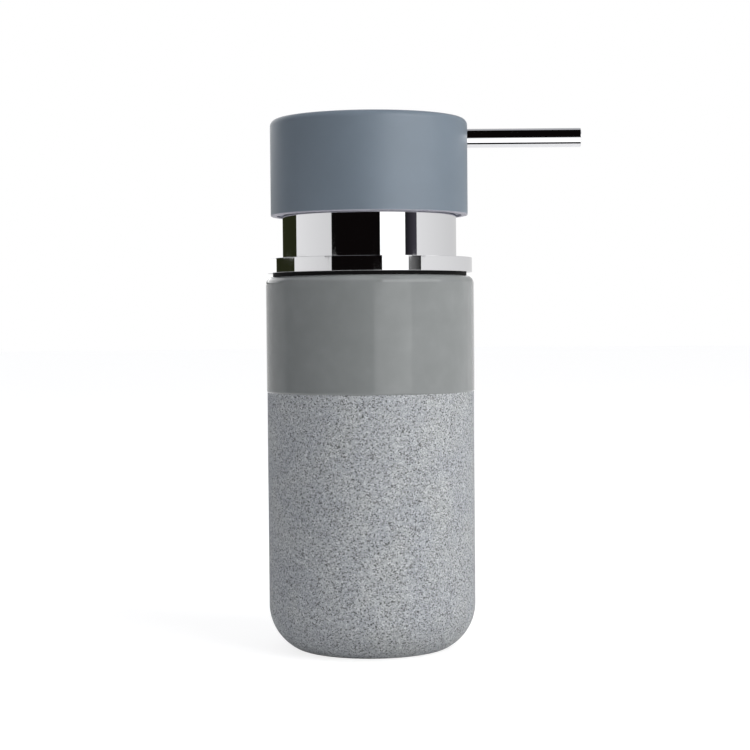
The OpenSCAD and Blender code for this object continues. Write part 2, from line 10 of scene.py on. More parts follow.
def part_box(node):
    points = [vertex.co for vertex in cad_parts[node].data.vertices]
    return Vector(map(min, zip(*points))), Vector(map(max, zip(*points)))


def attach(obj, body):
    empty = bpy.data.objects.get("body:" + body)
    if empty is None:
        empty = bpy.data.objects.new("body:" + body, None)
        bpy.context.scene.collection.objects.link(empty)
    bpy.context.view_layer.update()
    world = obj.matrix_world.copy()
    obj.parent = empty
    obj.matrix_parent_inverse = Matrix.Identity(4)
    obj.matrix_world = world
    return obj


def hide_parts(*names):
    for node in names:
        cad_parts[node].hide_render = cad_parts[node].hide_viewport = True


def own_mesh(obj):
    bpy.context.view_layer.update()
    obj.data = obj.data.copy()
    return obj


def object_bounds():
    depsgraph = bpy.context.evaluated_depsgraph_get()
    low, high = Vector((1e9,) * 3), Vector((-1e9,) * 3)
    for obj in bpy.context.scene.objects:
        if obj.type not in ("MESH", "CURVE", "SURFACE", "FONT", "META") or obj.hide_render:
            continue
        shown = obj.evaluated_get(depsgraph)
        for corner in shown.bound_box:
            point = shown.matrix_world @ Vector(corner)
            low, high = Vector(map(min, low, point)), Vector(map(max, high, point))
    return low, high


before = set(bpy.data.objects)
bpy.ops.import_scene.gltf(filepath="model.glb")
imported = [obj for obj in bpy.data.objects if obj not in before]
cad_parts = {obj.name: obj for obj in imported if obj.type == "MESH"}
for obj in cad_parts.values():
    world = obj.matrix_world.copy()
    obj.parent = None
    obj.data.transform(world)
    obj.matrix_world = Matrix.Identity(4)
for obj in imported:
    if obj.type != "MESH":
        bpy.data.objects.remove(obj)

bl_info = {
    "name": "Soap Pump Dispenser",
    "version": (1, 0, 0),
    "blender": (4, 5, 0),
    "location": "View3D > Sidebar > Dispenser",
    "description": "Stoneware soap bottle with a chrome collar, a satin cap and a straight spout",
    "category": "Object",
}

CAD_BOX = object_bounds()
MM = 0.001
FULL_TURN = 2 * math.pi
# Red, green and blue of the surroundings: a trace of cool daylight
COOL = (0.99, 1.0, 1.045)
# How close to a rounded edge a flat face starts to shade flat
HOLD = 0.03 * MM
# Points nearer to each other than the first are one point. Points nearer to the axis than the
# second are on it.
SAME_POINT = 1e-7
ON_AXIS = 1e-9
# Segments around the bottle and the collar, and around the spout
WIDE_SEGMENTS = 256
TUBE_SEGMENTS = 128

# Corners of the CAD pieces that the made pieces take their places from
BOTTLE_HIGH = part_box("ceramic_bottle")[1]
INSERT_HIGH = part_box("mouth_insert")[1]
COLLAR_LOW, COLLAR_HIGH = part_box("collar_shell")
SPOUT_LOW, SPOUT_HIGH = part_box("spout_tube")
SPRING_LOW, SPRING_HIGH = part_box("return_spring")


# Sizes and colours that a user would change


def length(name, text, default):
    """A length in metres, shown in the scene's own unit."""
    return bpy.props.FloatProperty(name=name, description=text, default=default, min=0.0,
                                   precision=5, subtype="DISTANCE", unit="LENGTH")


def angle(name, text, degrees):
    """An angle, shown in degrees."""
    return bpy.props.FloatProperty(name=name, description=text, default=math.radians(degrees),
                                   subtype="ANGLE", unit="ROTATION")


def number(name, text, default):
    """A plain number of zero or more."""
    return bpy.props.FloatProperty(name=name, description=text, default=default, min=0.0)


def colour(name, text, default):
    """An sRGB colour, written as a hex value."""
    return bpy.props.StringProperty(name=name, description=text, default=default)


class BottleSettings(bpy.types.PropertyGroup):
    """The stoneware bottle and its glaze."""

    foot_in: length("Foot In", "How far the foot curve comes in from the wall", 10.5 * MM)
    foot_rise: length("Foot Rise", "How high the foot curve rises", 14.8 * MM)
    foot_round: length("Foot Round", "Radius of the tight part of the foot curve", 4.6 * MM)
    foot_recess: length("Foot Recess", "Depth of the recess inside the foot ring", 1.2 * MM)
    foot_ring: length("Foot Ring", "Width of the ring that stands on the table", 5 * MM)
    shoulder: length("Shoulder", "Radius of the round on the shoulder", 2.6 * MM)
    wall: length("Wall", "Thickness of the side wall", 4.5 * MM)
    floor: length("Floor", "Thickness of the floor", 5 * MM)
    deck: length("Deck", "Thickness of the top deck", 7 * MM)
    inside_round: length("Inside Round", "Radius of the round inside, at the floor", 12 * MM)
    deck_round: length("Deck Round", "Radius of the round inside, under the deck", 5 * MM)
    glue_gap: length("Glue Gap", "Room for glue around the mouth insert", 0.2 * MM)
    glaze_line: length("Glaze Line", "Height at which the glaze ends", 86.4 * MM)
    glaze_coat: length("Glaze Coat", "How far the glaze stands out from the bare body", 0.14 * MM)
    bare_colour: colour("Bare Colour", "Main colour of the bare stoneware", "#A8ABAE")
    glaze_colour: colour("Glaze Colour", "Colour of the glaze", "#808382")


class CollarSettings(bpy.types.PropertyGroup):
    """The chrome collar."""

    wall: length("Wall", "Wall of the collar shell", 1.6 * MM)
    flange: length("Flange", "Height of the flange", 4.8 * MM)
    deck_hole: length("Deck Hole", "Radius of the hole in the neck's deck", 7.4 * MM)
    edge: length("Edge", "Radius of the round on the flange's edges", 0.06 * MM)
    neck_round: length("Neck Round", "Radius of the round on top of the neck", 1.5 * MM)
    fillet: length("Fillet", "Radius of the fillet between neck and flange", 0.06 * MM)


class CapSettings(bpy.types.PropertyGroup):
    """The cap and the liner that shows at its lower edge."""

    cap_colour: colour("Cap Colour", "Colour of the moulded cap", "#68747F")
    # Painted highlight: the lip colour makes the cap's lower edge paler, for light that the rounded
    # edge catches
    lip_highlight_colour: colour("Lip Colour", "Colour of the cap's rubbed lower edge", "#A6A5B1")
    liner_colour: colour("Liner Colour", "Colour of the liner inside the cap", "#A5A6B8")


class SpoutSettings(bpy.types.PropertyGroup):
    """The spout tube."""

    wall: length("Wall", "Wall of the tube", 0.8 * MM)
    lip: length("Lip", "Radius of the round on the tube's cut end", 0.15 * MM)


class SpringSettings(bpy.types.PropertyGroup):
    """The return spring inside the barrel."""

    wire: length("Wire", "Diameter of the wire", 0.9 * MM)
    turns: number("Turns", "Number of turns", 8.0)
    stroke: length("Stroke", "How much shorter the spring gets when the cap is pressed", 12.5 * MM)


class StageSettings(bpy.types.PropertyGroup):
    """The floor, the lights and the camera."""

    distance: length("Distance", "Distance from the bottle's axis to the camera", 604.7 * MM)
    height: length("Height", "Height of the camera above the floor", 111 * MM)
    pitch: angle("Pitch", "How far the camera looks down", 1.825)
    pan: angle("Pan", "How far the camera looks to the right", 0.141)
    roll: angle("Roll", "How far the camera leans", 0.485)
    lens_mm: number("Lens", "Focal length in millimetres", 85.9)
    floor_r: length("Floor Radius", "Radius of the floor", 6.0)
    floor_colour: colour("Floor Colour", "Colour of the floor", "#959595")
    ambient: number("Ambient", "Radiance of the surroundings", 0.56)
    softbox: number("Softbox", "Radiance of the softbox", 7.75)
    card_r: length("Card Distance", "Distance from the axis to the light cards", 1.2)


# Meshes


def arc(centre, radius, from_deg, to_deg, steps):
    """Points on an arc in the (radius, height) plane, both ends included."""
    turns = [math.radians(from_deg + (to_deg - from_deg) * i / steps) for i in range(steps + 1)]
    return [(centre[0] + radius * math.cos(a), centre[1] + radius * math.sin(a)) for a in turns]


def straight(start, end, steps=1):
    """Points between start and end, both ends left out. The first and the last lie close to the
    ends, so that the face between them shades flat."""
    hold = HOLD / math.dist(start, end)
    shares = [hold] + [i / steps for i in range(1, steps)] + [1 - hold]
    return [(start[0] + (end[0] - start[0]) * t, start[1] + (end[1] - start[1]) * t)
            for t in shares]


def finish_mesh(name, bm, materials, smooth_deg=40.0):
    """Turn a bmesh into an object, with smooth shading that stops at sharp corners."""
    bmesh.ops.remove_doubles(bm, verts=bm.verts, dist=SAME_POINT)
    bmesh.ops.recalc_face_normals(bm, faces=bm.faces)
    for face in bm.faces:
        face.smooth = True
    limit = math.radians(smooth_deg)
    for edge in bm.edges:
        if len(edge.link_faces) == 2 and edge.calc_face_angle(0.0) > limit:
            edge.smooth = False
    mesh = bpy.data.meshes.new(name)
    bm.to_mesh(mesh)
    bm.free()
    for material in materials:
        mesh.materials.append(material)
    piece = bpy.data.objects.new(name, mesh)
    bpy.context.scene.collection.objects.link(piece)
    return piece


def turn_profile(profile, segments, closed, shift=None, material_at=None):
    """Turn (radius, height) points about Z. shift(i, turn) moves point i of the profile at that
    turn, and material_at(i) gives the material of the band between points i and i + 1."""
    bm = bmesh.new()
    rows = []
    for i, (r, z) in enumerate(profile):
        if r < ON_AXIS:
            rows.append([bm.verts.new((0.0, 0.0, z))] * segments)
            continue
        row = []
        for k in range(segments):
            turn = FULL_TURN * k / segments
            dr, dz = shift(i, turn) if shift else (0.0, 0.0)
            row.append(bm.verts.new(((r + dr) * math.cos(turn), (r + dr) * math.sin(turn), z + dz)))
        rows.append(row)
    bands = len(profile) if closed else len(profile) - 1
    for i in range(bands):
        low, high = rows[i], rows[(i + 1) % len(rows)]
        for k in range(segments):
            n = (k + 1) % segments
            corners = list(dict.fromkeys([low[k], low[n], high[n], high[k]]))
            face = bm.faces.new(corners)
            face.material_index = material_at(i) if material_at else 0
    return bm


# Materials


def linear(hex_value):
    """An sRGB hex value as linear red, green, blue and alpha."""
    parts = [int(hex_value.lstrip("#")[i:i + 2], 16) / 255 for i in (0, 2, 4)]
    return [c / 12.92 if c <= 0.04045 else ((c + 0.055) / 1.055) ** 2.4 for c in parts] + [1.0]


def per_metre(size_mm):
    """Texture scale at which one grain, thread or patch of a pattern is size_mm across."""
    return 1.0 / (size_mm * MM)


def add(tree, kind, settings=None, links=None):
    """Add a node, set its properties and sockets, and link its inputs. An integer names a socket by
    its place."""
    made = tree.nodes.new(kind)
    for name, value in (settings or {}).items():
        if isinstance(name, int) or name in made.inputs:
            made.inputs[name].default_value = value
        else:
            setattr(made, name, value)
    for name, source in (links or {}).items():
        tree.links.new(source, made.inputs[name])
    return made


def surface(name, **sockets):
    """A new material whose shader has these socket values. Returns it, its tree and its shader."""
    material = bpy.data.materials.new(name)
    material.use_nodes = True
    tree = material.node_tree
    shader = tree.nodes["Principled BSDF"]
    for socket, value in sockets.items():
        shader.inputs[socket.replace("_", " ")].default_value = value
    return material, tree, shader


def ramp(tree, source, stops, interpolation="LINEAR"):
    """Colours along a value: stops are (place, hex value)."""
    made = add(tree, "ShaderNodeValToRGB", links={0: source})
    made.color_ramp.interpolation = interpolation
    elements = made.color_ramp.elements
    while len(elements) < len(stops):
        elements.new(0.5)
    for element, (place, value) in zip(elements, stops):
        element.position = place
        element.color = linear(value)
    return made.outputs["Color"]


def bare_stoneware(base):
    """Unglazed speckled stoneware, fired with grit in the clay: a dry, granular face of pale grains
    with dark ones among them, which scatters light evenly and shows no reflection."""
    made, tree, shader = surface("stoneware_bare_grit", Roughness=0.92, IOR=1.5)
    place = add(tree, "ShaderNodeTexCoord").outputs["Object"]
    grit_mm = 0.35
    grains = add(tree, "ShaderNodeTexVoronoi", {"Scale": per_metre(grit_mm)}, {"Vector": place})
    pick = add(tree, "ShaderNodeSeparateColor", links={0: grains.outputs["Color"]})
    tone = ramp(tree, pick.outputs[0],
                [(0.0, "#464746"), (0.09, "#6D6E6D"), (0.22, "#939596"),
                 (0.45, base), (0.80, "#B3B5B7"), (1.0, "#D2D4D5")])
    silt_mm = 0.6
    silt = add(tree, "ShaderNodeTexNoise", {"Scale": per_metre(silt_mm), "Detail": 2.0},
               {"Vector": place})
    dust = ramp(tree, silt.outputs[0], [(0.3, "#EAEBEB"), (0.5, "#F8F8F8"), (0.72, "#FFFFFF")])
    dusty = add(tree, "ShaderNodeMix", {"data_type": "RGBA", "blend_type": "MULTIPLY", 0: 1.0},
                {6: tone, 7: dust})
    cloud_mm = 11.0
    cloud = add(tree, "ShaderNodeTexNoise", {"Scale": per_metre(cloud_mm), "Detail": 2.0},
                {"Vector": place})
    shade = ramp(tree, cloud.outputs[0], [(0.35, "#F4F5F7"), (0.65, "#FFFFFD")])
    mixed = add(tree, "ShaderNodeMix", {"data_type": "RGBA", "blend_type": "MULTIPLY", 0: 1.0},
                {6: dusty.outputs[2], 7: shade})
    tree.links.new(mixed.outputs[2], shader.inputs["Base Color"])
    relief = add(tree, "ShaderNodeBump", {"Strength": 0.5, "Distance": 0.05 * MM},
                 {"Height": silt.outputs[0]})
    tree.links.new(relief.outputs[0], shader.inputs["Normal"])
    return made


def gloss_glaze(base):
    """Stoneware under a poured gloss glaze: an even grey with a faint pooling of tone, a glassy skin
    and a very slight ripple that softens what it reflects."""
    made, tree, shader = surface("stoneware_gloss_glaze", Roughness=0.07, IOR=1.52)
    place = add(tree, "ShaderNodeTexCoord").outputs["Object"]
    pool_mm = 7.0
    pool = add(tree, "ShaderNodeTexNoise", {"Scale": per_metre(pool_mm), "Detail": 3.0},
               {"Vector": place})
    tone = ramp(tree, pool.outputs[0], [(0.3, "#7D807F"), (0.55, base), (0.8, "#848786")])
    tree.links.new(tone, shader.inputs["Base Color"])
    ripple_mm = 5.0
    ripple = add(tree, "ShaderNodeTexNoise", {"Scale": per_metre(ripple_mm), "Detail": 1.0},
                 {"Vector": place})
    relief = add(tree, "ShaderNodeBump", {"Strength": 0.25, "Distance": 0.05 * MM},
                 {"Height": ripple.outputs[0]})
    tree.links.new(relief.outputs[0], shader.inputs["Normal"])
    return made


def satin_plastic(name, base, roughness, lip=None):
    """Moulded ABS from a fine spark-eroded tool: an even colour with a soft satin sheen, and a
    texture of about 0.1 mm that is drawn at 0.35 mm because the true one is too fine to show. lip
    is the height and the colour of a painted highlight: a paler band along the lower edge that
    stands in for light caught on the rounded edge."""
    made, tree, shader = surface(name, Roughness=roughness, IOR=1.54, Base_Color=linear(base))
    place = add(tree, "ShaderNodeTexCoord").outputs["Object"]
    patch_mm = 14.0
    patch = add(tree, "ShaderNodeTexNoise", {"Scale": per_metre(patch_mm), "Detail": 3.0},
                {"Vector": place})
    spread = 0.05
    rough = add(tree, "ShaderNodeMapRange",
                {"To Min": roughness - spread, "To Max": roughness + spread},
                {"Value": patch.outputs[0]})
    tree.links.new(rough.outputs[0], shader.inputs["Roughness"])
    tint = add(tree, "ShaderNodeMix",
               {"data_type": "RGBA", "blend_type": "MULTIPLY", 0: 1.0, 6: linear(base)},
               {7: ramp(tree, patch.outputs[0], [(0.3, "#F7F7F7"), (0.7, "#FFFFFF")])})
    tone = tint.outputs[2]
    # Painted highlight: below the lip height the colour turns to the paler lip colour, for light
    # caught on the rounded lower edge
    if lip:
        height = add(tree, "ShaderNodeSeparateXYZ", links={0: place}).outputs["Z"]
        highlight_band_mm = 0.5
        above = add(tree, "ShaderNodeMapRange",
                    {"From Min": lip[0] + highlight_band_mm / 2 * MM, "From Max": lip[0] + highlight_band_mm * MM},
                    {"Value": height})
        tone = add(tree, "ShaderNodeMix", {"data_type": "RGBA", 6: linear(lip[1])},
                   {0: above.outputs[0], 7: tone}).outputs[2]
    tree.links.new(tone, shader.inputs["Base Color"])
    spark_mm = 0.35
    spark = add(tree, "ShaderNodeTexNoise", {"Scale": per_metre(spark_mm), "Detail": 2.0},
                {"Vector": place})
    relief = add(tree, "ShaderNodeBump", {"Strength": 0.3, "Distance": 0.012 * MM},
                 {"Height": spark.outputs[0]})
    tree.links.new(relief.outputs[0], shader.inputs["Normal"])
    return made


def chrome_plate(name, stretch):
    """Bright chrome plated over a polished base: a cool mirror with hairline wiping marks and a
    trace of waviness. stretch squeezes the marks along one axis, so that they run with the
    polishing."""
    made, tree, shader = surface(name, Metallic=1.0, Roughness=0.02, Base_Color=linear("#DDDDDF"))
    place = add(tree, "ShaderNodeTexCoord").outputs["Object"]
    along = add(tree, "ShaderNodeMapping", {"Scale": stretch}, {"Vector": place})
    mark_mm = 0.8
    marks = add(tree, "ShaderNodeTexNoise", {"Scale": per_metre(mark_mm), "Detail": 4.0},
                {"Vector": along.outputs[0]})
    rough = add(tree, "ShaderNodeMapRange",
                {"From Min": 0.35, "From Max": 0.75, "To Min": 0.014, "To Max": 0.04},
                {"Value": marks.outputs[0]})
    tree.links.new(rough.outputs[0], shader.inputs["Roughness"])
    wave_mm = 9.0
    wave = add(tree, "ShaderNodeTexNoise", {"Scale": per_metre(wave_mm), "Detail": 0.0},
               {"Vector": place})
    relief = add(tree, "ShaderNodeBump", {"Strength": 0.08, "Distance": 0.03 * MM},
                 {"Height": wave.outputs[0]})
    tree.links.new(relief.outputs[0], shader.inputs["Normal"])
    return made


def moulded_polymer(name, base, roughness, see_through=0.0):
    """Plain injection-moulded polypropylene, polyethylene or acetal: waxy, with slow changes of
    gloss where the melt flowed, and some light passing through where it is natural."""
    depth = 2 * MM
    made, tree, shader = surface(name, Roughness=roughness, IOR=1.49, Base_Color=linear(base),
                                 Transmission_Weight=see_through, Subsurface_Weight=0.15,
                                 Subsurface_Radius=(depth, depth, depth), Subsurface_Scale=1.0)
    place = add(tree, "ShaderNodeTexCoord").outputs["Object"]
    flow_mm = 6.0
    flow = add(tree, "ShaderNodeTexNoise", {"Scale": per_metre(flow_mm), "Detail": 2.0},
               {"Vector": place})
    glossier, duller = 0.08, 0.1
    rough = add(tree, "ShaderNodeMapRange",
                {"To Min": roughness - glossier, "To Max": roughness + duller},
                {"Value": flow.outputs[0]})
    tree.links.new(rough.outputs[0], shader.inputs["Roughness"])
    relief = add(tree, "ShaderNodeBump", {"Strength": 0.2, "Distance": 0.03 * MM},
                 {"Height": flow.outputs[0]})
    tree.links.new(relief.outputs[0], shader.inputs["Normal"])
    return made


def moulded_silicone():
    """Black moulded silicone rubber: nearly matt, with a dusty bloom that lifts the black in
    patches."""
    made, tree, shader = surface("silicone_moulded_black", Roughness=0.7, IOR=1.41,
                                 Specular_IOR_Level=0.2)
    place = add(tree, "ShaderNodeTexCoord").outputs["Object"]
    bloom_mm = 2.5
    bloom = add(tree, "ShaderNodeTexNoise", {"Scale": per_metre(bloom_mm), "Detail": 4.0},
                {"Vector": place})
    tone = ramp(tree, bloom.outputs[0], [(0.35, "#040404"), (0.7, "#0B0B0B")])
    tree.links.new(tone, shader.inputs["Base Color"])
    relief = add(tree, "ShaderNodeBump", {"Strength": 0.3, "Distance": 0.02 * MM},
                 {"Height": bloom.outputs[0]})
    tree.links.new(relief.outputs[0], shader.inputs["Normal"])
    return made


def drawn_steel(name, roughness, mark_mm):
    """Stainless steel, drawn into wire or ground into a ball: bright, with fine marks of the drawing
    or the grinding, mark_mm apart."""
    made, tree, shader = surface(name, Metallic=1.0, Roughness=roughness,
                                 Base_Color=linear("#C4C3BF"))
    place = add(tree, "ShaderNodeTexCoord").outputs["Object"]
    lines = add(tree, "ShaderNodeTexNoise", {"Scale": per_metre(mark_mm), "Detail": 3.0},
                {"Vector": place})
    smoothest, roughest = 0.7, 1.4
    rough = add(tree, "ShaderNodeMapRange",
                {"To Min": roughness * smoothest, "To Max": roughness * roughest},
                {"Value": lines.outputs[0]})
    tree.links.new(rough.outputs[0], shader.inputs["Roughness"])
    return made


def paint_node(node, material):
    """Give a CAD node this material in every slot."""
    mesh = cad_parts[node].data
    mesh.materials.clear()
    mesh.materials.append(material)


# Pieces


def bottle_profile(s):
    """The bottle's section as a walk from the middle of the foot, up the outside, over the deck,
    down the inside and back to the axis. Returns the points, and the places in them where the glaze
    begins, where its uneven edge ends and where the glaze ends."""
    outer_r = BOTTLE_HIGH.x
    top = BOTTLE_HIGH.z
    bare_r = outer_r - s.glaze_coat
    ring_r = outer_r - s.foot_in
    recess_r = ring_r - s.foot_ring
    nick = 0.3 * MM
    rise = s.foot_rise - s.foot_round
    side_round = (s.foot_in ** 2 + rise ** 2 - s.foot_round ** 2) / (2 * (s.foot_in - s.foot_round))
    tight = (ring_r - s.glaze_coat, s.foot_round)
    wide = (bare_r - side_round, s.foot_rise)
    meet = math.degrees(math.atan2(tight[1] - wide[1], tight[0] - wide[0]))
    line = s.glaze_line
    coat = s.glaze_coat
    bare_top = line - 0.6 * MM
    glaze_start = line - 0.1 * MM
    insert_flange_t = 1.2 * MM
    insert_flange_w = 3.2 * MM
    seat_r = INSERT_HIGH.x + s.glue_gap
    seat_z = top - insert_flange_t
    mouth_r = INSERT_HIGH.x - insert_flange_w + s.glue_gap
    cavity_r = outer_r - s.wall
    under = top - s.deck
    floor = s.foot_recess + s.floor

    points = [(0.0, s.foot_recess)]
    points += straight((0.0, s.foot_recess), (recess_r, s.foot_recess), 4)
    points += [(recess_r, s.foot_recess), (recess_r, nick)]
    points += arc((recess_r + nick, nick), nick, 180, 270, 3)[1:]
    points += arc(tight, s.foot_round, -90, meet, 18)
    points += arc(wide, side_round, meet, 0, 26)[1:]
    points += straight((bare_r, s.foot_rise), (bare_r, bare_top), 24)
    points += [(bare_r, bare_top), (bare_r, glaze_start)]
    glaze_from = len(points) - 1
    # The glaze's thick edge: shares of the coat, and millimetres above the line
    edge = [(0.35, 0.0), (0.75, 0.07), (0.98, 0.22), (1.05, 0.5), (1.02, 0.9), (1.0, 1.6)]
    points += [(bare_r + coat * share, line + up * MM) for share, up in edge]
    line_to = len(points) - 1
    shoulder = (outer_r - s.shoulder, top - s.shoulder)
    points += straight(points[-1], (outer_r, shoulder[1]), 14)
    points += arc(shoulder, s.shoulder, 0, 90, 14)
    points += straight(points[-1], (seat_r, top), 4)
    glaze_to = len(points)
    points += [(seat_r, top), (seat_r, seat_z), (mouth_r, seat_z), (mouth_r, under)]
    points += arc((cavity_r - s.deck_round, under - s.deck_round), s.deck_round, 90, 0, 8)
    lowest = floor + s.inside_round
    points += straight(points[-1], (cavity_r, lowest), 10)
    points += arc((cavity_r - s.inside_round, lowest), s.inside_round, 0, -90, 12)
    points += straight(points[-1], (0.0, floor), 4)
    points += [(0.0, floor)]
    return points, glaze_from, line_to, glaze_to


class DISPENSER_OT_bottle(bpy.types.Operator):
    """Make the stoneware bottle with its glaze, and finish the ring glued in its mouth"""

    bl_idname = "dispenser.bottle"
    bl_label = "Stoneware Bottle"

    def execute(self, context):
        s = context.scene.dispenser_bottle
        points, glaze_from, line_to, glaze_to = bottle_profile(s)
        uneven = 0.22 * MM
        slump = 0.03 * MM
        deck_under = BOTTLE_HIGH.z - s.deck
        waves_up, wall_waves, edge_waves = 25, 1.6, 5.0

        def shift(i, turn):
            """The wall's slight unevenness from firing, never outward near the deck, and the uneven
            height of the glaze's edge."""
            r, z = points[i]
            way = Vector((math.cos(turn), math.sin(turn), z * waves_up))
            moves = r > INSERT_HIGH.x and z > s.foot_recess
            dr = slump * noise.noise(way * wall_waves) if moves else 0.0
            dz = 0.0
            if glaze_from <= i <= line_to:
                around = Vector((math.cos(turn), math.sin(turn), 0.0))
                dz = uneven * noise.noise(around * edge_waves)
            return (dr if dr < 0 or z < deck_under else -abs(dr)), dz

        bm = turn_profile(points, WIDE_SEGMENTS, False, shift,
                          lambda i: 1 if glaze_from <= i < glaze_to else 0)
        bottle = finish_mesh("glazed_bottle", bm,
                             [bare_stoneware(s.bare_colour), gloss_glaze(s.glaze_colour)])
        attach(bottle, "bottle")
        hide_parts("ceramic_bottle")
        paint_node("mouth_insert",
                   moulded_polymer("polypropylene_moulded_white_ring", "#E6E5E0", 0.4))
        return {"FINISHED"}


class DISPENSER_OT_collar(bpy.types.Operator):
    """Make the chrome collar, and finish the black seal under it"""

    bl_idname = "dispenser.collar"
    bl_label = "Chrome Collar"

    def execute(self, context):
        s = context.scene.dispenser_collar
        low, top = COLLAR_LOW.z, COLLAR_HIGH.z
        outer = COLLAR_HIGH.x
        flange_top = low + s.flange
        neck_r = neck_radius()
        neck_in = neck_r - s.wall
        deck = top - s.wall
        points = arc((outer - s.edge, low + s.edge), s.edge, -90, 0, 8)
        points += straight(points[-1], (outer, flange_top - s.edge))
        points += arc((outer - s.edge, flange_top - s.edge), s.edge, 0, 90, 8)
        points += straight(points[-1], (neck_r + s.fillet, flange_top))
        points += arc((neck_r + s.fillet, flange_top + s.fillet), s.fillet, 270, 180, 4)
        points += straight(points[-1], (neck_r, top - s.neck_round))
        points += arc((neck_r - s.neck_round, top - s.neck_round), s.neck_round, 0, 90, 12)
        points += straight(points[-1], (s.deck_hole, top))
        points += [(s.deck_hole, top), (s.deck_hole, deck), (neck_in, deck)]
        points += [(neck_in, flange_top - s.wall), (outer - s.wall, flange_top - s.wall)]
        points += [(outer - s.wall, low)]
        collar = finish_mesh("plated_collar", turn_profile(points, WIDE_SEGMENTS, True),
                             [chrome_plate("chrome_plated_collar", (1.0, 1.0, 0.05))])
        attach(collar, "pump")
        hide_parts("collar_shell")
        rubber = moulded_silicone()
        for node in ("mouth_seal", "housing_gasket", "stem_wiper", "spout_o_ring"):
            paint_node(node, rubber)
        return {"FINISHED"}


def neck_radius():
    """Radius of the collar's neck: the widest ring of the collar that is well above its flange."""
    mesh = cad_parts["collar_shell"].data
    middle = (COLLAR_LOW.z + COLLAR_HIGH.z) / 2
    return max(math.hypot(v.co.x, v.co.y) for v in mesh.vertices if v.co.z > middle)


class DISPENSER_OT_cap(bpy.types.Operator):
    """Finish the cap and its liner"""

    bl_idname = "dispenser.cap"
    bl_label = "Cap"

    def execute(self, context):
        s = context.scene.dispenser_cap
        # The lip colour is a painted highlight along the cap's lower edge
        lip = (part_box("cap_shell")[0].z, s.lip_highlight_colour)
        paint_node("cap_shell", satin_plastic("abs_moulded_satin_cap", s.cap_colour, 0.42, lip))
        paint_node("cap_liner", satin_plastic("abs_moulded_liner", s.liner_colour, 0.5))
        return {"FINISHED"}


class DISPENSER_OT_spout(bpy.types.Operator):
    """Make the straight chrome spout"""

    bl_idname = "dispenser.spout"
    bl_label = "Spout"

    def execute(self, context):
        s = context.scene.dispenser_spout
        radius = (SPOUT_HIGH.z - SPOUT_LOW.z) / 2
        bore = radius - s.wall
        start, tip = SPOUT_LOW.x, SPOUT_HIGH.x
        points = [(bore, start), (radius, start)]
        points += straight((radius, start), (radius, tip - s.lip), 12)
        points += arc((radius - s.lip, tip - s.lip), s.lip, 0, 90, 6)
        points += arc((bore + s.lip, tip - s.lip), s.lip, 90, 180, 6)
        points += straight((bore, tip - s.lip), (bore, start), 6)
        bm = turn_profile(points, TUBE_SEGMENTS, True)
        middle = (SPOUT_LOW.z + SPOUT_HIGH.z) / 2
        aim = Matrix.Translation((0, 0, middle)) @ Matrix.Rotation(math.pi / 2, 4, "Y")
        bmesh.ops.transform(bm, matrix=aim, verts=bm.verts)
        spout = finish_mesh("plated_spout", bm,
                            [chrome_plate("chrome_plated_brass_tube", (0.05, 1.0, 1.0))])
        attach(spout, "head")
        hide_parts("spout_tube")
        return {"FINISHED"}


class DISPENSER_OT_spring(bpy.types.Operator):
    """Make the return spring with closed ends"""

    bl_idname = "dispenser.spring"
    bl_label = "Return Spring"

    def execute(self, context):
        s = context.scene.dispenser_spring
        wire_r = s.wire / 2
        coil_r = SPRING_HIGH.x - wire_r
        low, high = SPRING_LOW.z + wire_r, SPRING_HIGH.z - wire_r
        steps_a_turn, sides = 32, 12
        count = int(s.turns * steps_a_turn)
        closed_share = 1.0 / s.turns

        def rise(t):
            """Height along the coil: flat end turns, and an even pitch between them."""
            lift = s.wire / (high - low)
            if t < closed_share:
                return lift * t / closed_share
            if t > 1 - closed_share:
                return 1 - lift * (1 - t) / closed_share
            return lift + (1 - 2 * lift) * (t - closed_share) / (1 - 2 * closed_share)

        bm = bmesh.new()
        rings = []
        for i in range(count + 1):
            t = i / count
            turn = FULL_TURN * s.turns * t
            height = low + (high - low) * rise(t)
            ring = []
            for j in range(sides):
                side = FULL_TURN * j / sides
                out = coil_r + wire_r * math.cos(side)
                ring.append(bm.verts.new((out * math.cos(turn), out * math.sin(turn),
                                          height + wire_r * math.sin(side))))
            rings.append(ring)
        for a, b in zip(rings, rings[1:]):
            for j in range(sides):
                n = (j + 1) % sides
                bm.faces.new((a[j], a[n], b[n], b[j]))
        bm.faces.new(rings[0])
        bm.faces.new(rings[-1])
        spring = finish_mesh("coil_spring", bm, [drawn_steel("stainless_drawn_wire", 0.22, 0.3)])
        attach(spring, "spring")
        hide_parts("return_spring")
        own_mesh(spring)
        return {"FINISHED"}


class DISPENSER_OT_pump(bpy.types.Operator):
    """Finish the pieces of the pump inside the neck and the bottle"""

    bl_idname = "dispenser.pump"
    bl_label = "Pump Inside"

    def execute(self, context):
        natural = moulded_polymer("polypropylene_moulded_natural", "#E9ECEC", 0.32, 0.25)
        white = moulded_polymer("polypropylene_moulded_white", "#E8E7E2", 0.38)
        acetal = moulded_polymer("acetal_moulded_white", "#F0EFEA", 0.3)
        soft = moulded_polymer("polyethylene_moulded_soft", "#F2F1EC", 0.5)
        finishes = {
            "collar_core": white, "snap_ring": white, "pump_housing": natural, "dip_tube": natural,
            "stem_guide": natural, "ball_cage": natural, "piston_seal": soft, "piston_rod": acetal,
            "stem": acetal,
        }
        for node, material in finishes.items():
            paint_node(node, material)
        paint_node("spout_elbow", satin_plastic("abs_moulded_elbow", "#4B4E55", 0.5))
        paint_node("inlet_ball", drawn_steel("stainless_ground_ball", 0.08, 1.0))
        return {"FINISHED"}


# Stage


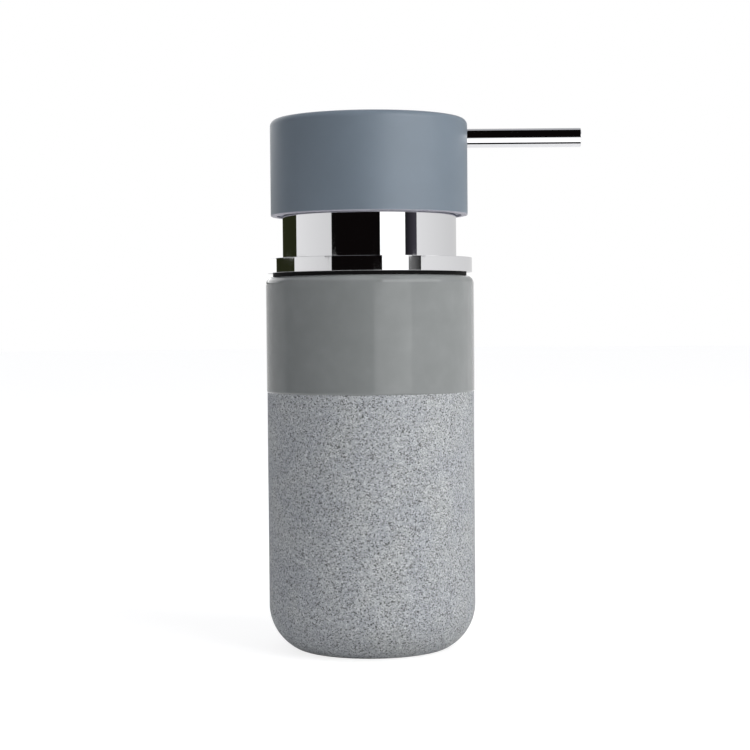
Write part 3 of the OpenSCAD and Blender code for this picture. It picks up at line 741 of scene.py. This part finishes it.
def glowing_card(name, bm, use="glossy"):
    """Turn a bmesh into a card that glows with its corners' colour. The camera never sees it: it is
    for glossy reflections, or for diffuse light."""
    mesh = bpy.data.meshes.new(name)
    bm.to_mesh(mesh)
    bm.free()
    made = bpy.data.materials.new(name + "_cloth")
    made.use_nodes = True
    tree = made.node_tree
    tree.nodes.clear()
    glow = add(tree, "ShaderNodeAttribute", {"attribute_name": "glow"})
    light = add(tree, "ShaderNodeEmission", {"Strength": 1.0}, {"Color": glow.outputs["Color"]})
    add(tree, "ShaderNodeOutputMaterial", links={"Surface": light.outputs[0]})
    mesh.materials.append(made)
    card = bpy.data.objects.new(name, mesh)
    bpy.context.scene.collection.objects.link(card)
    card.visible_camera = False
    card.visible_shadow = False
    card.visible_diffuse = use == "diffuse"
    card.visible_glossy = use == "glossy"
    return card


def upright_card(name, radius, from_deg, to_deg, low, high, first, last, use="glossy"):
    """A curved upright card around the object, fading from the first radiance to the last. Degrees
    count from the front (-Y) towards +X."""
    steps = 24
    bm = bmesh.new()
    glow = bm.verts.layers.float_color.new("glow")
    columns = []
    for i in range(steps + 1):
        share = i / steps
        turn = math.radians(from_deg + (to_deg - from_deg) * share)
        x, y = radius * math.sin(turn), -radius * math.cos(turn)
        column = (bm.verts.new((x, y, low)), bm.verts.new((x, y, high)))
        for vert in column:
            vert[glow] = [a + (b - a) * share for a, b in zip(first, last)] + [1.0]
        columns.append(column)
    for (a, b), (c, d) in zip(columns, columns[1:]):
        bm.faces.new((a, c, d, b))
    return glowing_card(name, bm, use)


def strip_card(name, path, left, right, radiance):
    """A card that follows (depth, height) points, from x = left to x = right."""
    bm = bmesh.new()
    glow = bm.verts.layers.float_color.new("glow")
    rows = [(bm.verts.new((left, y, z)), bm.verts.new((right, y, z))) for y, z in path]
    for vert in bm.verts:
        vert[glow] = list(radiance) + [1.0]
    for (a, b), (c, d) in zip(rows, rows[1:]):
        bm.faces.new((a, b, d, c))
    return glowing_card(name, bm)


def grey(value):
    """A neutral radiance."""
    return (value, value, value)


class DISPENSER_OT_stage(bpy.types.Operator):
    """Set up the pale floor, the soft light and the camera"""

    bl_idname = "dispenser.stage"
    bl_label = "Stage"

    def execute(self, context):
        s = context.scene.dispenser_stage
        self.make_floor(s)
        self.make_light(s)
        self.make_cards(s)
        self.make_camera(s)
        context.scene.view_settings.view_transform = "Standard"
        return {"FINISHED"}

    def make_floor(self, s):
        """A wide round floor of seamless white paper. It glows a little so that shadows stay faint,
        and is plain pale paper to the light that it throws back on the object."""
        glow, gloss, thrown_back = 0.8, 0.1, "#E0E0E0"
        bm = bmesh.new()
        bmesh.ops.create_circle(bm, cap_ends=True, radius=s.floor_r, segments=128)
        mesh = bpy.data.meshes.new("paper_floor")
        bm.to_mesh(mesh)
        bm.free()
        made, tree, shader = surface("paper_matt_floor", Roughness=0.9,
                                     Base_Color=linear(s.floor_colour), Specular_IOR_Level=gloss,
                                     Emission_Color=(1.0, 1.0, 1.0, 1.0), Emission_Strength=glow)
        unlit = add(tree, "ShaderNodeBsdfDiffuse", {"Color": linear(thrown_back)})
        path = add(tree, "ShaderNodeLightPath")
        mixed = add(tree, "ShaderNodeMixShader", links={0: path.outputs["Is Diffuse Ray"],
                                                        1: shader.outputs[0], 2: unlit.outputs[0]})
        tree.links.new(mixed.outputs[0], tree.nodes["Material Output"].inputs["Surface"])
        mesh.materials.append(made)
        floor = bpy.data.objects.new("paper_floor", mesh)
        floor.location.z = CAD_BOX[0][2]
        bpy.context.scene.collection.objects.link(floor)

    def make_light(self, s):
        """Even surroundings with a trace of cool daylight, plain white to the camera, and one large
        softbox high on the right, which lights matt faces only."""
        world = bpy.data.worlds.new("studio")
        bpy.context.scene.world = world
        world.use_nodes = True
        tree = world.node_tree
        seen = tree.nodes["Background"]
        seen.inputs["Color"].default_value = (1.0, 1.0, 1.0, 1.0)
        around = add(tree, "ShaderNodeBackground", {"Color": (*COOL, 1.0), "Strength": s.ambient})
        path = add(tree, "ShaderNodeLightPath")
        mixed = add(tree, "ShaderNodeMixShader", links={0: path.outputs["Is Camera Ray"],
                                                        1: around.outputs[0], 2: seen.outputs[0]})
        tree.links.new(mixed.outputs[0], tree.nodes["World Output"].inputs["Surface"])
        away, low, high = 1.5, 0.6, 1.7
        radiance = grey(s.softbox)
        upright_card("softbox", away, 30, 74, low, high, radiance, radiance, "diffuse")

    def make_cards(self, s):
        """Cards that only reflections see. They give the plating and the glaze their upright bands,
        in one tier each for the glaze, the flange, the neck and the cap, and give the spout its
        lines."""
        black, olive = (0.004, 0.003, 0.003), (0.022, 0.025, 0.011)
        slate, pale_slate = (0.01, 0.01, 0.012), (0.065, 0.06, 0.075)
        tiers = {"glaze": (-0.3, 0.1520), "flange": (0.1520, 0.1713), "neck": (0.1713, 0.245),
                 "cap": (0.245, 0.9)}
        # Name, tier, from and to in degrees, first and last radiance
        cards = (
            ("glaze_back_left", "glaze", -180, -106, grey(0.78), grey(0.28)),
            ("glaze_left", "glaze", -106, 4.6, grey(0.02), grey(0.03)),
            ("glaze_front", "glaze", 4.6, 45, grey(0.95), grey(1.75)),
            ("glaze_right", "glaze", 45, 180, grey(1.0), grey(0.7)),
            ("flange_far_left", "flange", -180, -127, grey(1.5), grey(1.5)),
            ("flange_back_left", "flange", -127, -91, olive, olive),
            ("flange_left", "flange", -91, -42, grey(1.0), grey(0.80)),
            ("flange_dark", "flange", -42, 13.5, black, black),
            ("flange_white", "flange", 13.5, 43, grey(1.6), grey(1.6)),
            ("flange_gap", "flange", 43, 58, grey(0.24), grey(0.02)),
            ("flange_right", "flange", 58, 180, grey(1.0), grey(0.72)),
            ("neck_back_left", "neck", -180, -111, olive, olive),
            ("neck_left", "neck", -111, -50, grey(1.0), grey(0.84)),
            ("neck_dark", "neck", -50, 13.6, black, black),
            ("neck_white", "neck", 13.6, 47, grey(1.6), grey(1.6)),
            ("neck_gap", "neck", 47, 64, slate, pale_slate),
            ("neck_right", "neck", 64, 180, grey(0.98), grey(0.66)),
            ("cap_left", "cap", -120, 14, black, black),
            ("cap_right", "cap", 14, 84, grey(3.0), grey(2.2)),
            ("rim_left", "cap", -180, -125, grey(2.3), grey(1.0)),
            ("rim_right", "cap", 120, 180, grey(0.5), grey(0.5)),
        )
        for name, tier, from_deg, to_deg, first, last in cards:
            low, high = tiers[tier]
            upright_card(name, s.card_r, from_deg, to_deg, low, high, first, last)
        spout_z = (SPOUT_LOW.z + SPOUT_HIGH.z) / 2
        arch_r = 0.8
        over = [(-y, z) for y, z in arc((0.0, spout_z), arch_r, -0.5, 106, 24)]
        strip_card("spout_dark", over, 0.06, 0.19, black)
        above_floor, left = 0.002, 0.036
        white = [(-1.1, above_floor), (-0.094, above_floor)]
        line = [(-0.094, above_floor), (-0.02, above_floor)]
        strip_card("spout_white", white, left, 0.22, grey(1.6))
        strip_card("spout_line", line, left, 0.1, black)

    def make_camera(self, s):
        """A long lens, level with the glaze and looking slightly down."""
        data = bpy.data.cameras.new("camera")
        data.sensor_width = 36.0
        data.lens = s.lens_mm
        data.clip_start = 0.01
        camera = bpy.data.objects.new("camera", data)
        bpy.context.scene.collection.objects.link(camera)
        tilt = Matrix.Rotation(math.pi / 2 - s.pitch, 4, "X")
        camera.matrix_world = (Matrix.Translation((0.0, -s.distance, s.height))
                               @ Matrix.Rotation(-s.pan, 4, "Z") @ tilt
                               @ Matrix.Rotation(-s.roll, 4, "Z"))
        bpy.context.scene.camera = camera


OPERATORS = (DISPENSER_OT_stage, DISPENSER_OT_bottle, DISPENSER_OT_collar, DISPENSER_OT_cap,
             DISPENSER_OT_spout, DISPENSER_OT_spring, DISPENSER_OT_pump)
SETTINGS = {
    "dispenser_bottle": BottleSettings,
    "dispenser_collar": CollarSettings,
    "dispenser_cap": CapSettings,
    "dispenser_spout": SpoutSettings,
    "dispenser_spring": SpringSettings,
    "dispenser_stage": StageSettings,
}


class DISPENSER_PT_pieces(bpy.types.Panel):
    """Buttons for each piece and for the stage"""

    bl_idname = "DISPENSER_PT_pieces"
    bl_label = "Soap Pump Dispenser"
    bl_space_type = "VIEW_3D"
    bl_region_type = "UI"
    bl_category = "Dispenser"

    def draw(self, context):
        for operator in OPERATORS:
            self.layout.operator(operator.bl_idname)
        for name, group in SETTINGS.items():
            box = self.layout.box()
            box.label(text=group.__doc__)
            for field in group.__annotations__:
                box.prop(getattr(context.scene, name), field)


CLASSES = (*SETTINGS.values(), *OPERATORS, DISPENSER_PT_pieces)


def register():
    for item in CLASSES:
        bpy.utils.register_class(item)
    for name, group in SETTINGS.items():
        setattr(bpy.types.Scene, name, bpy.props.PointerProperty(type=group))


def unregister():
    for name in SETTINGS:
        delattr(bpy.types.Scene, name)
    for item in reversed(CLASSES):
        bpy.utils.unregister_class(item)


def main():
    register()
    bpy.ops.dispenser.stage()
    bpy.ops.dispenser.bottle()
    bpy.ops.dispenser.collar()
    bpy.ops.dispenser.cap()
    bpy.ops.dispenser.spout()
    bpy.ops.dispenser.spring()
    bpy.ops.dispenser.pump()


if __name__ == "__main__":
    main()
